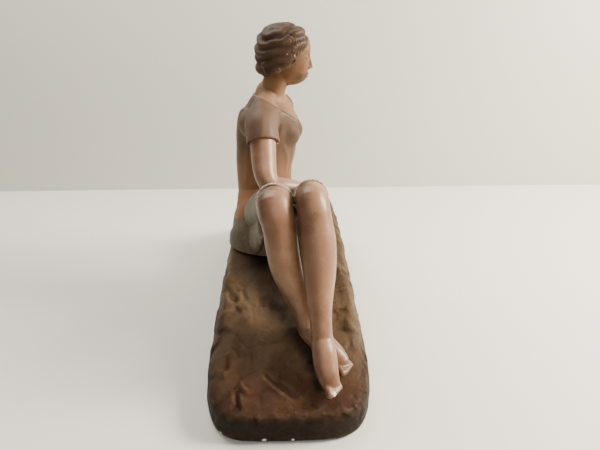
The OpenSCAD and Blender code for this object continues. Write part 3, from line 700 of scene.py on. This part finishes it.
def shapeBlouse():
    s = blouseSize
    bm = bmesh.new()
    limb(bm, [(28, 29, 186, 44, 34.6, 44), (28, 29, 202, 44, 35, 44), (34, 29, 225, 43, 37, 46.5),
              (42, 25, 250, 46, 40, 49), (47, 23.5, 270, 50, 42, 49.5), (51, 22, 288, 52, 41, 47.5),
              (55, 20, 302, 50, 35, 41), (55, 20, 314, 38, 27, 34), (53, 20, 325, 23, 21, 25)],
         [(-0.85, 0.53, 0), (-0.85, 0.53, 0), (-0.9, 0.43, 0), (-0.96, 0.28, 0), (-0.978, 0.208, 0),
          (-0.978, 0.208, 0), (-0.978, 0.208, 0), (-0.978, 0.208, 0), (-0.978, 0.208, 0)],
         40, 4, False, True)
    limb(bm, [(50, 24, 318, 15, 14, 17), (24, 29, 311, 17, 14, 19), (2, 32, 301, 19, 17, 20)], (0, 1, 0))
    limb(bm, [(56, 22, 318, 15, 14, 17), (84, 18, 311, 17, 14, 19), (108, 10, 301, 19, 17, 20)], (0, -1, 0))
    limb(bm, [(20, 26, 299, 22, 22, 22), (4, 30, 298, 22.5, 22, 22), (-8, 32, 291, 22.5, 22, 23),
              (-16, 31, 283, 22.5, 21, 22.5), (*s["rightHem"], 22.5, 21, 22)],
         (0, 1, 0), 32, roundEnd=False)
    limb(bm, [(92, 15, 299, 22, 22, 22), (107, 9, 298, 22.5, 22, 22), (115, 8, 291, 22.5, 22, 22),
              (119, 10.5, 281, 22, 21, 21.5), (*s["leftHem"], 22, 21, 21)],
         (0, -1, 0), 32, roundEnd=False)
    for centre, radii in (((13, 45, 291), (22, 21, 21)), ((94, 32, 291), (20, 24, 21))):   # shoulder blades
        ball(bm, centre, radii)
    clay = weld("blouse", bm, s["grain"])
    hems = np.minimum(np.abs((clay["co"] - np.array(s["rightHem"])) @ np.array((-0.53, -0.05, -0.85))),
                      np.abs((clay["co"] - np.array(s["leftHem"])) @ np.array((0.2, 0.15, -0.97))))
    soften(clay, 16, np.clip(hems / 6 + 0.15, 0, 1))
    relax(clay, 6, np.clip(hems / 12, 0, 1))
    shoulders = np.clip((clay["co"][:, 2] - 272) / 16, 0, 1) * np.clip(hems / 14, 0, 1)
    relax(clay, 26, shoulders * np.clip(clay["co"][:, 1] / 20, 0.15, 1))
    for x, y in ((25, -10), (61, -18)):   # bust
        dab(clay, (x, y, 271), (21, 20, 19), 8.5, (0.05, -0.96, -0.22))
        dab(clay, (x, y + 3, 284), (20, 20, 20), 2.5, (0, -1, 0))
    refresh(clay)
    relax(clay, 4, np.clip(hems / 12, 0, 1))

    # the neckline runs from the nape to a point on the chest; the cloth stands proud of the skin
    x, y, z = clay["co"].T
    slant = math.hypot(1, s["neckFall"], s["neckSpread"])
    level = (z - s["nape"] - s["neckFall"] * (y - 24) - s["neckSpread"] * np.abs(x - 50)) / slant
    cloth = np.clip(0.5 - level / s["edge"], 0, 1)
    band = np.exp(-((level + 2.6) / 1.5) ** 2)
    upper = np.clip((z - 282) / 8, 0, 1) * np.clip((46 - np.abs(x - 52)) / 6, 0, 1)
    clay["co"] += clay["normal"] * (upper * (s["proud"] * cloth + 0.5 * band - 1.0))[:, None]
    refresh(clay)
    mask(clay, "bare", np.clip(0.5 + level / s["edge"], 0, 1) * upper)
    lip = np.exp(-((level + 0.4) / s["edge"]) ** 2)
    stitched = np.exp(-((level + 4.6) / 0.7) ** 2)
    mask(clay, "rim", upper * (lip + 0.6 * stitched))

    fold(clay, [(-4, 50, 318), (-14, 53, 300), (-24, 52, 280)], 3, 0.9)       # sleeve
    fold(clay, [(-12, 14, 306), (-24, 12, 290), (-31, 12, 276)], 3, 0.8)
    fold(clay, [(-14, 30, 316), (-31, 30, 297), (-42, 31, 281)], 3.4, 0.7)
    fold(clay, [(8, 8, 292), (4, 14, 276), (6, 22, 262)], 3, -1.6)            # crease under the arm
    fold(clay, [(14, 54, 296), (2, 52, 278), (6, 48, 262)], 3, -1.4)
    fold(clay, [(4, 2, 262), (14, -2, 238), (12, 4, 212)], 4, 1.1)            # pulls from bust to waist
    fold(clay, [(24, -22, 262), (22, -12, 236), (16, -3, 208)], 4.5, 1.2)
    fold(clay, [(60, -26, 262), (50, -14, 236), (42, -8, 208)], 4.5, 1.2)
    fold(clay, [(-2, 22, 250), (-8, 34, 226), (-10, 44, 204)], 4.5, 1.0)
    fold(clay, [(6, 56, 262), (-4, 58, 236), (-4, 56, 208)], 4.5, 0.9)
    fold(clay, [(40, 66, 292), (34, 68, 250), (30, 66, 206)], 5, -1.5)        # hollow of the back
    fold(clay, [(84, 48, 268), (70, 60, 236), (58, 58, 206)], 4.5, 1.0)
    fold(clay, [(84, 2, 262), (76, 6, 236), (70, 12, 206)], 4, 1.0)
    p = clay["co"]
    mask(clay, "bronze", np.clip((262 - p[:, 2]) / 40, 0, 1))
    # painted light: the sleeves are lighter
    mask(clay, "sleeve", np.clip((14 - p[:, 0]) / 16, 0, 1) + np.clip((p[:, 0] - 98) / 12, 0, 1))
    return clay


finish(shapeBlouse(), blousePaint, "blouse_paint", "torso")


# ---------- skirt ----------

skirtSize = {"grain": 1.3, "hemAt": -111, "hemTurn": 190, "hemDepth": 3.0}


def shapeSkirt():
    s = skirtSize
    bm = bmesh.new()
    limb(bm, [(10, 13, 110, 77, 58, 64), (10, 13, 118, 76, 58, 62), (9, 14, 140, 73, 52, 60),
              (16, 20, 164, 63, 45, 55), (24, 26, 182, 50.5, 39.5, 49), (28, 29, 200, 42.6, 33.6, 42.6)],
         [(-0.24, 0.97, 0), (-0.24, 0.97, 0), (-0.3, 0.95, 0), (-0.55, 0.83, 0), (-0.75, 0.66, 0),
          (-0.85, 0.53, 0)], 40, 4, False, False)
    # thighs under the cloth, then the lap that spans them
    limb(bm, [(2, 32, 150, 34, 34, 34), (-40, 26, 180, 31, 31, 30), (-80, 18, 205, 26, 27, 26),
              (-106, 14, 221.5, 23.6, 24, 23), (-116, 14.3, 224, 23, 23.4, 22.6)],
         (0, 1, 0), 32, roundEnd=False)
    limb(bm, [(2, -22, 150, 34, 34, 34), (-40, -26, 181, 31, 31, 30), (-80, -30, 209, 26, 27, 26),
              (-106, -31, 225.5, 21.6, 24, 22.6), (-116, -31, 229, 21, 23, 22)],
         (0, 1, 0), 32, roundEnd=False)
    limb(bm, [(0, 4, 152, 50, 30, 34), (-40, 1, 180, 46, 28, 25), (-80, -4, 205, 38, 24, 20),
              (-100, -8.5, 217, 32, 20, 17)], (0, 1, 0), 32, roundEnd=False)
    # cloth that falls from the thighs to the rock
    limb(bm, [(20, 46, 128, 22, 24, 24), (-20, 46, 142, 14, 34, 26), (-54, 40, 164, 8, 34, 24),
              (-84, 33, 188, 5, 26, 20)], (0, 1, 0))
    limb(bm, [(20, -40, 128, 20, 22, 24), (-20, -44, 142, 12, 34, 26), (-54, -45, 166, 7, 32, 24),
              (-84, -46, 192, 5, 24, 20)], (0, 1, 0))
    clay = weld("skirt", bm, s["grain"])
    soften(clay, 8)
    relax(clay, 2)

    # the hem crosses both knees, then runs back under the thighs to the seat
    p = clay["co"]
    ahead = s["hemAt"] + np.clip(s["hemTurn"] - p[:, 2], 0, 80) * 0.5 - p[:, 0]
    knees = np.clip((p[:, 2] - 140) / 20, 0, 1)
    past = np.clip(ahead / 1.6, 0, 1) * knees
    clay["co"] -= clay["normal"] * (past * s["hemDepth"])[:, None]
    refresh(clay)
    hem = np.exp(-((ahead + 1.3) / 1.5) ** 2) * knees
    clay["co"] += clay["normal"] * (0.5 * hem)[:, None]
    mask(clay, "hem", np.clip(1.4 - np.abs(ahead + 0.2) / 1.2, 0, 1) * np.clip((p[:, 2] - 186) / 14, 0, 1))
    # painted light: the top of the lap is lighter
    mask(clay, "lit", np.clip((-70 - p[:, 0]) / 30, 0, 1) * np.clip((p[:, 2] - 205) / 15, 0, 1))

    for side, x in ((1, 30), (1, 4), (1, -20), (-1, 20), (-1, -10)):   # folds of the lap
        y = 8 + side * 50
        fold(clay, [(x + 14, y + side * 8, 120), (x, y, 144), (x - 22, y - side * 16, 172)], 4, 1.1)
        fold(clay, [(x + 4, y + side * 8, 118), (x - 10, y, 140), (x - 30, y - side * 14, 164)], 3, -0.9)
    fold(clay, [(-2, 22, 190), (-24, 24, 196), (-52, 22, 212)], 4, 0.9)
    fold(clay, [(-4, -14, 186), (-30, -10, 196), (-60, -8, 212)], 5, -1.2)
    fold(clay, [(12, 60, 184), (0, 66, 160), (-6, 70, 134)], 5, 0.9)
    fold(clay, [(60, 60, 184), (66, 66, 160), (72, 70, 134)], 5, 0.9)
    fold(clay, [(36, 72, 184), (34, 80, 160), (34, 84, 134)], 4, -0.9)
    refresh(clay)
    relax(clay, 1)
    mask(clay, "bronze", np.clip((p[:, 2] - 197 + np.clip(p[:, 1] - 15, 0, 60) * 0.7) / 5, 0, 1)
         * np.clip((p[:, 0] + 40) / 20, 0, 1))
    return clay


finish(shapeSkirt(), skirtPaint, "skirt_paint", "skirt")


# ---------- legs ----------

legSize = {"grain": 1.1, "toes": (5.4, 4.3, 4.0, 3.7, 3.4), "toeReach": (12, 12.5, 11, 9.5, 8)}


def shapeLeg(name, shin, foot, toeLine, toeWay, knee, toeShade):
    bm = bmesh.new()
    limb(bm, shin, (0, -1, 0), 32)
    limb(bm, foot, (0, -1, 0))
    start, end = Vector(toeLine[0]), Vector(toeLine[1])
    way = Vector(toeWay).normalized()
    for k, radius in enumerate(legSize["toes"]):
        root = start.lerp(end, k / 4)
        reach = legSize["toeReach"][k]
        mid, tip = root + way * reach * 0.5 + Vector((0, 0, 1.2)), root + way * reach
        limb(bm, [(*root, radius * 0.8, radius * 0.75, radius * 0.75),
                  (*mid, radius * 0.78, radius * 0.7, radius * 0.7),
                  (*tip, radius * 0.86, radius * 0.72, radius * 0.72)], (0, -1, 0), 14, 3)
    clay = weld(name, bm, legSize["grain"])
    byToes = falloff(np.linalg.norm(clay["co"] - np.array(start.lerp(end, 0.5) + way * 8), axis=1) / 26)
    soften(clay, 8, 1 - 0.75 * np.clip(byToes * 2, 0, 1))
    joint = np.array(foot[1][:3])
    ankle = falloff(np.linalg.norm(clay["co"] - joint - np.array((0, 0, 6.0)), axis=1) / 30)
    soften(clay, 50, np.sqrt(ankle))
    relax(clay, 14, ankle)
    kx, ky, kz = knee
    dab(clay, (kx - 18, ky, kz + 12), (13, 11, 13), 1.2)                 # kneecap
    dab(clay, (kx - 20, ky + 13, kz), (8, 7, 12), -1.2)
    dab(clay, (kx - 20, ky - 13, kz), (8, 7, 12), -1.2)
    p = clay["co"]
    fromKnee = np.linalg.norm((p - np.array((kx - 22, ky, kz - 2.0))) / np.array((34, 28, 30)), axis=1)
    fromToes = np.linalg.norm((p - np.array(start)) / 44, axis=1)
    mask(clay, "rosy", 0.9 * falloff(fromKnee) + 0.8 * falloff(fromToes))
    # painted shade: darker down the side turned from the light, round the sides of the knees and over the
    # toes, most on the right foot that lies behind
    beside = np.clip(clay["normal"][:, 1] * 1.4 + 0.1, 0, 1)
    kneeSides = np.clip(np.abs(p[:, 1] - ky) / 20 * 1.5 - 0.6, 0, 1)
    kneeSides = kneeSides * falloff(np.clip(fromKnee * 0.68, 0, 1))
    onToes = np.clip((start[0] + 26 - p[:, 0]) / 30, 0, 1) * np.clip((90 - p[:, 2]) / 20, 0, 1)
    mask(clay, "shade", 0.75 * beside + 0.7 * kneeSides + toeShade * onToes)
    return clay


def rightLeg():
    shin = [(-84, 15, 203, 21, 20, 20), (-108, 14, 220, 21.6, 20, 20), (-123, 13.6, 225, 21.8, 19.5, 20),
            (-133, 12, 215, 21.5, 19, 19.5), (-139, 8.3, 200, 20.5, 18.5, 19), (-146, 5.5, 177, 20, 18, 21),
            (-153, 0.5, 150, 19, 17, 20), (-160, -10, 124, 15.5, 14, 16), (-166, -19, 102, 12.5, 12, 13),
            (-170, -23, 88, 12.5, 12.5, 13), (-171, -25, 76, 12, 13, 13)]
    foot = [(-161, -21, 70, 10, 11, 10), (-168, -25, 71, 13, 13, 12), (-183, -34, 73, 14.5, 13, 14),
            (-196, -46, 68, 14, 11, 12), (-206, -55, 62, 14, 9, 12), (-213, -61, 57, 12.5, 6, 9)]
    return shapeLeg("right_leg", shin, foot, [(-216, -56, 55), (-206, -70, 54)],
                    (-0.84, -0.52, -0.1), (-108, 13, 221), 0.8)


def leftLeg():
    shin = [(-84, -30, 208, 19.5, 20, 20), (-110, -31, 226, 19.6, 20, 20), (-125, -31, 231, 19.6, 19.5, 20.5),
            (-136, -32.5, 221, 20, 19, 20), (-143, -34.5, 206, 20.5, 18.5, 19),
            (-153, -37, 186, 21.5, 18, 21), (-167, -38, 157, 20, 17, 21),
            (-184, -38, 125, 15.2, 14, 16), (-195, -38.5, 106, 13.2, 12, 13),
            (-202, -39.5, 93, 12.8, 12.5, 13), (-205, -40.5, 84, 12.6, 13, 13)]
    foot = [(-194, -40, 90, 11, 11, 11), (-201, -40, 86, 13, 13, 13), (-216, -41, 80, 14, 12.5, 14),
            (-228, -42.5, 69.5, 14, 11, 13), (-238, -44.5, 62, 12.5, 9, 13), (-244, -47, 56.5, 11, 6.5, 9)]
    return shapeLeg("left_leg", shin, foot, [(-246, -41.5, 55), (-240, -55, 54.5)],
                    (-0.93, -0.3, -0.26), (-110, -32, 227), 0.6)


finish(rightLeg(), skinPaint, "skin_paint", "right_leg")
finish(leftLeg(), skinPaint, "skin_paint", "left_leg")


# ---------- arms ----------

armSize = {"grain": 1.0, "fingers": (3.5, 3.7, 3.5, 3.0)}


def finger(bm, root, way, sideways, length, radius, curl):
    bend = Vector(curl)
    mid = root + way * length * 0.45 + bend * 0.25
    tip = root + way * length * 0.95 + bend
    limb(bm, [(*root, radius, radius, radius), (*mid, radius * 1.02, radius, radius),
              (*tip, radius * 0.82, radius * 0.8, radius * 0.8)], sideways, 14, 3)


def shadeAndRoseArm(clay):   # painted shade on the inner side and underneath, and rosy paint towards the hand
    p, n = clay["co"], clay["normal"]
    inner = np.clip(-n[:, 0] * n[:, 1] * 2, 0, 1)
    below = np.clip(-n[:, 2] * 1.3 - 0.1, 0, 1)
    mask(clay, "shade", 0.5 * inner + 0.45 * below)
    mask(clay, "rosy", 0.6 * np.clip((232 - p[:, 2]) / 40, 0, 1))
    return clay


def rightArm():
    bm = bmesh.new()
    limb(bm, [(-14, 31, 290, 17.5, 17, 17), (-24, 30, 272, 17.5, 17, 17.5), (-38, 29, 250, 16.6, 15.5, 16),
              (-50, 26, 233, 15, 14.5, 15), (-55, 18, 222.5, 14, 14, 13.5), (-52, 5, 219.5, 13, 13.5, 13),
              (-46, -9, 216.5, 11, 12, 11.5), (-41, -21, 213, 9, 10.5, 10)],
         [(0.2, 0.98, 0), (0.2, 0.98, 0), (0.1, 0.95, 0.1), (0, 0.8, 0.6), (0, 0.5, 0.86),
          (0.2, 0, 1), (0.2, 0, 1), (0.2, 0, 1)], 30)
    limb(bm, [(-41, -18, 213, 8.5, 10.5, 10), (-37, -30, 210.5, 7, 12, 12), (-32, -42, 207.5, 6, 12.5, 12)],
         (0.2, 0, 1), 26, 4)
    way = Vector((0.38, -0.85, -0.32)).normalized()
    across = Vector((0.9, 0.4, 0)).normalized()
    for k, radius in enumerate(armSize["fingers"]):
        root = Vector((-33, -40, 207)) + across * (k - 1.5) * 6.6 + Vector((0, 0, -0.5 * k))
        finger(bm, root, way, across, (17, 19, 17, 14)[k], radius, (0, 2, -6))
    thumb = Vector((-0.05, -0.95, -0.25)).normalized()
    finger(bm, Vector((-45, -27, 212)), thumb, Vector((1, 0, 0)), 19, 3.9, (2, 0, -3))
    clay = weld("right_arm", bm, armSize["grain"])
    soften(clay, 6)
    dab(clay, (-55, 30, 224), (9, 8, 9), 1.3)                            # elbow
    return shadeAndRoseArm(clay)


def leftArm():
    bm = bmesh.new()
    limb(bm, [(119, 9, 284, 17, 17, 17), (123, 14, 266, 17, 17, 17), (129, 18, 240, 15.8, 16, 16),
              (134, 21, 214, 13.5, 14, 14), (137, 24, 200, 13.5, 14, 13.5), (141, 29, 178, 13, 13.5, 13),
              (144, 33, 156, 10.5, 11, 11), (145, 36, 141, 9.5, 9, 9.5)], (1, 0, 0), 30, 4)
    limb(bm, [(145, 36, 142, 9.5, 9, 9), (147, 40, 130, 12, 9, 10), (150, 49, 122, 13, 6, 8),
              (151, 58, 119.5, 12.5, 4, 5)], (1, 0, 0), 26, 4)
    way = Vector((0.1, 0.97, -0.2)).normalized()
    for k, radius in enumerate(armSize["fingers"]):
        root = Vector((151 + (k - 1.5) * -6.8, 58 - 0.9 * abs(k - 1.2), 119.6))
        finger(bm, root, (way + Vector(((1.5 - k) * 0.1, 0, 0))).normalized(), Vector((1, 0, 0)),
               (19, 21, 19, 15)[k], radius, (0, 0, -1.5))
    thumb = Vector((-0.6, 0.75, -0.25)).normalized()
    finger(bm, Vector((137, 44, 124)), thumb, Vector((1, 0, 0)), 17, 3.9, (0, 2, -1))
    clay = weld("left_arm", bm, armSize["grain"])
    soften(clay, 6)
    dab(clay, (139, 30, 204), (8, 8, 9), -0.8)
    dab(clay, (132, 12, 206), (8, 8, 9), 1.2)
    return shadeAndRoseArm(clay)


finish(rightArm(), skinPaint, "skin_paint", "right_arm")
finish(leftArm(), skinPaint, "skin_paint", "left_arm")


# ---------- rock ----------

rockSize = {
    "grain": 2.3,
    "dabs": 640,        # strokes of the knife over the whole rock
    "tilt": 0.085,
    "reach": 2.4,       # a stroke never lifts or cuts more than this
    "grit": 0.14,
    "rim": 34,          # height of the upright rim
    "level": 0.4,       # how much the strokes differ in height
    "seed": 7,
}


def shapeRock():
    s = rockSize
    bm = bmesh.new()
    bm.from_mesh(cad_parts["rock_base"].data)
    bmesh.ops.remove_doubles(bm, verts=bm.verts, dist=1e-5)
    clay = weld("rock", bm, s["grain"])
    soften(clay, 8)
    p = clay["co"]
    outside = np.sum(clay["normal"] * (p - np.array((0, 0, 10.0))) * np.array((0.3, 1, 1)), axis=1) > 0
    free = np.clip((p[:, 2] - 4) / 8, 0, 1) * outside
    # the surface stays even where the figure is bedded: seat, hand and feet
    for centre, clear in (((10, 12, 110), 84), ((148, 44, 116), 30), ((-232, -46, 50), 22),
                          ((-208, -62, 50), 20)):
        free *= np.clip((np.linalg.norm(p - np.array(centre, float), axis=1) - clear) / 14, 0.06, 1)

    rng = np.random.default_rng(s["seed"])
    seeds = p[rng.choice(np.flatnonzero(outside), s["dabs"], replace=False)]
    tilts = rng.normal(0, s["tilt"], (s["dabs"], 3))
    levels = rng.normal(0, s["level"], s["dabs"])
    wander = np.stack([np.sin(p @ w) for w in rng.normal(0, 0.09, (3, 3))], axis=1) * 5
    nearest = np.full(len(p), 1e9)
    stroke = np.zeros(len(p))
    stretch = np.array((0.75, 1.15, 1.1))
    for seed, tilt, rise in zip(seeds, tilts, levels):
        away = p + wander - seed
        distance = np.linalg.norm(away * stretch, axis=1)
        mine = distance < nearest
        nearest[mine] = distance[mine]
        stroke[mine] = (away @ tilt + rise)[mine]
    calm = np.where(p[:, 2] < s["rim"] - 4, 0.35, 1.0)   # the rim is struck smooth
    # so is the slope beside the feet
    middle = np.exp(-((p[:, 0] + 170) / 70) ** 2 - ((p[:, 1] - 8) / 36) ** 2)
    calm *= 1 - 0.6 * middle
    clay["co"] += clay["normal"] * (np.clip(stroke, -s["reach"], s["reach"]) * calm * free)[:, None]
    refresh(clay)
    relax(clay, 1)
    grit = np.sin(p @ np.array((0.9, 1.3, 0.7))) * np.sin(p @ np.array((-1.1, 0.8, 1.2)))
    clay["co"] += clay["normal"] * (s["grit"] * grit * free)[:, None]

    # ledges and gouges that the knife left at the foot end
    fold(clay, [(-212, 62, 62), (-228, 58, 56), (-238, 48, 50), (-243, 38, 47)], 3.2, 2.8)
    fold(clay, [(-213, 68, 62), (-230, 65, 54), (-243, 54, 46), (-249, 42, 44)], 3.2, -2.2)
    fold(clay, [(-214, 28, 60), (-226, 18, 56), (-238, 6, 51), (-248, -4, 47), (-251, -14, 46)], 3.4, -3.4)
    fold(clay, [(-220, 35, 58), (-233, 22, 53), (-245, 8, 48), (-253, 0, 45)], 3.0, 2.2)
    fold(clay, [(-196, 80, 70), (-208, 78, 64), (-214, 84, 56)], 4.5, -4.0)      # notch in the flank
    fold(clay, [(-212, 74, 62), (-222, 80, 54)], 3.0, 2.6)
    fold(clay, [(-176, 40, 78), (-182, 30, 76), (-180, 20, 78)], 2.6, 1.8)
    dab(clay, (-208, 46, 62), (9, 8, 8), -2.4)
    dab(clay, (-206, 53, 64), (5, 5, 5), 1.6)
    fold(clay, [(-262, 60, 36), (-268, 30, 36), (-270, 0, 36), (-268, -40, 36), (-262, -66, 36)], 3.5, 1.4)
    fold(clay, [(-190, -78, 66), (-180, -84, 62), (-186, -90, 52)], 4, -2.8)
    fold(clay, [(-150, -76, 88), (-160, -84, 76), (-158, -92, 62)], 4, 2.2)
    fold(clay, [(-90, 92, 80), (-104, 84, 96), (-116, 74, 92)], 4.5, -2.6)
    fold(clay, [(190, 60, 96), (214, 30, 82), (220, -10, 80), (206, -50, 84)], 5, 3)
    fold(clay, [(176, 72, 90), (206, 74, 66), (232, 60, 50)], 5, -3)
    refresh(clay)
    relax(clay, 1, 0.5 * free)
    foot = np.clip((-150 - p[:, 0]) / 90, 0, 1)
    mask(clay, "rim", np.clip((s["rim"] + 9 - p[:, 2]) / 16, 0, 1) * np.clip((p[:, 2] + 2) / 3, 0, 1))
    mask(clay, "umber", foot * np.clip((62 - p[:, 2]) / 18, 0, 1))
    # painted shade, nearly black, under the thighs, and painted shadow of the legs on down beside them to the
    # toes
    under = np.linalg.norm((p - np.array((-52, 24, 100.0))) / np.array((70, 60, 44)), axis=1)
    beside, share = toPath(clay, [(-52, 38, 103), (-84, 32, 97), (-112, 20, 86), (-136, 3, 74),
                                  (-160, -13, 62), (-190, -27, 51), (-215, -32, 47), (-240, -34, 46)])
    band = np.clip(1.5 - beside / (23 * (1 - share) ** 1.2 + 4.5), 0, 1)
    mask(clay, "shade", np.maximum(np.sqrt(falloff(under)), band) * outside)
    mask(clay, "inside", (~outside & (p[:, 2] > 0.5)).astype(float))
    return clay


finish(shapeRock(), rockPaint, "rock_paint", "rock_base")


# ---------- felt ----------

feltSize = {"edge": 0.4}


def layFelt():
    s = feltSize
    bm = bmesh.new()
    bm.from_mesh(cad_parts["base_felt"].data)
    bmesh.ops.remove_doubles(bm, verts=bm.verts, dist=1e-5)
    bmesh.ops.dissolve_limit(bm, angle_limit=math.radians(1), verts=bm.verts, edges=bm.edges)
    sharp = [e for e in bm.edges if len(e.link_faces) == 2 and e.calc_face_angle() > 1]
    bmesh.ops.bevel(bm, geom=sharp, offset=s["edge"] * millimetre, affect="EDGES", segments=2, profile=0.5,
                    material=-1)
    bmesh.ops.triangulate(bm, faces=[f for f in bm.faces if len(f.verts) > 4])
    mesh = bpy.data.meshes.new("felt")
    bm.to_mesh(mesh)
    bm.free()
    piece = bpy.data.objects.new("felt", mesh)
    bpy.context.scene.collection.objects.link(piece)
    mesh.shade_smooth()
    mesh.materials.append(feltCloth)
    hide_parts("base_felt")
    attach(piece, "root")


layFelt()
print("felt laid")


# ---------- shelf, wall, light and camera ----------

room = {"wallAt": 537, "shelfColour": (0.72, 0.70, 0.62, 1), "wallColour": (0.6, 0.58, 0.51, 1)}


def board(name, corner, size, colour):
    bm = bmesh.new()
    bmesh.ops.create_cube(bm, size=1, matrix=Matrix.Translation(at(*corner)) @ Matrix.Diagonal(
        [v * millimetre for v in size] + [1]))
    mesh = bpy.data.meshes.new(name)
    bm.to_mesh(mesh)
    bm.free()
    piece = bpy.data.objects.new(name, mesh)
    bpy.context.scene.collection.objects.link(piece)
    paint = bpy.data.materials.new(name + "_paint")
    paint.use_nodes = True
    shader = paint.node_tree.nodes["Principled BSDF"]
    shader.inputs["Base Color"].default_value = colour
    shader.inputs["Roughness"].default_value = 0.55
    mesh.materials.append(paint)


board("shelf", (0, 0, -20), (9000, 9000, 40), room["shelfColour"])
board("wall", (room["wallAt"] + 20, 0, 1500), (40, 9000, 3000), room["wallColour"])


def lamp(name, place, aim, size, power, colour=(1, 1, 1)):
    light = bpy.data.lights.new(name, "AREA")
    light.shape = "RECTANGLE"
    light.size, light.size_y = size[0], size[1]
    light.energy = power
    light.color = colour
    piece = bpy.data.objects.new(name, light)
    piece.location = at(*place)
    piece.rotation_euler = (at(*aim) - at(*place)).to_track_quat("-Z", "Y").to_euler()
    bpy.context.scene.collection.objects.link(piece)


lamp("window", (-120, -1350, 950), (-60, 0, 160), (0.5, 0.7), 88, (1, 0.93, 0.84))
lamp("doorway", (-1350, 350, 1250), (0, 0, 160), (1.2, 1.2), 11, (1, 0.96, 0.92))
lamp("ceiling", (-500, -200, 2200), (0, 0, 100), (2.0, 2.0), 4)
lamp("backdrop", (330, 620, 1200), (537, 560, 200), (1.2, 0.4), 16)
world = bpy.data.worlds.new("room")
bpy.context.scene.world = world
world.use_nodes = True
world.node_tree.nodes["Background"].inputs["Color"].default_value = (1, 0.98, 0.95, 1)
world.node_tree.nodes["Background"].inputs["Strength"].default_value = 0.085

view = {"place": (-625, 0, 430), "down": 25.0, "aside": 1.9, "lens": 27.06}
lens = bpy.data.cameras.new("camera")
lens.sensor_width = 36
lens.lens = view["lens"]
lens.clip_start = 0.01
camera = bpy.data.objects.new("camera", lens)
camera.location = at(*view["place"])
camera.rotation_euler = (math.radians(90 - view["down"]), 0, math.radians(-90 - view["aside"]))
bpy.context.scene.collection.objects.link(camera)
bpy.context.scene.camera = camera

print("shelf, wall, light and camera placed")

bpy.context.view_layer.update()
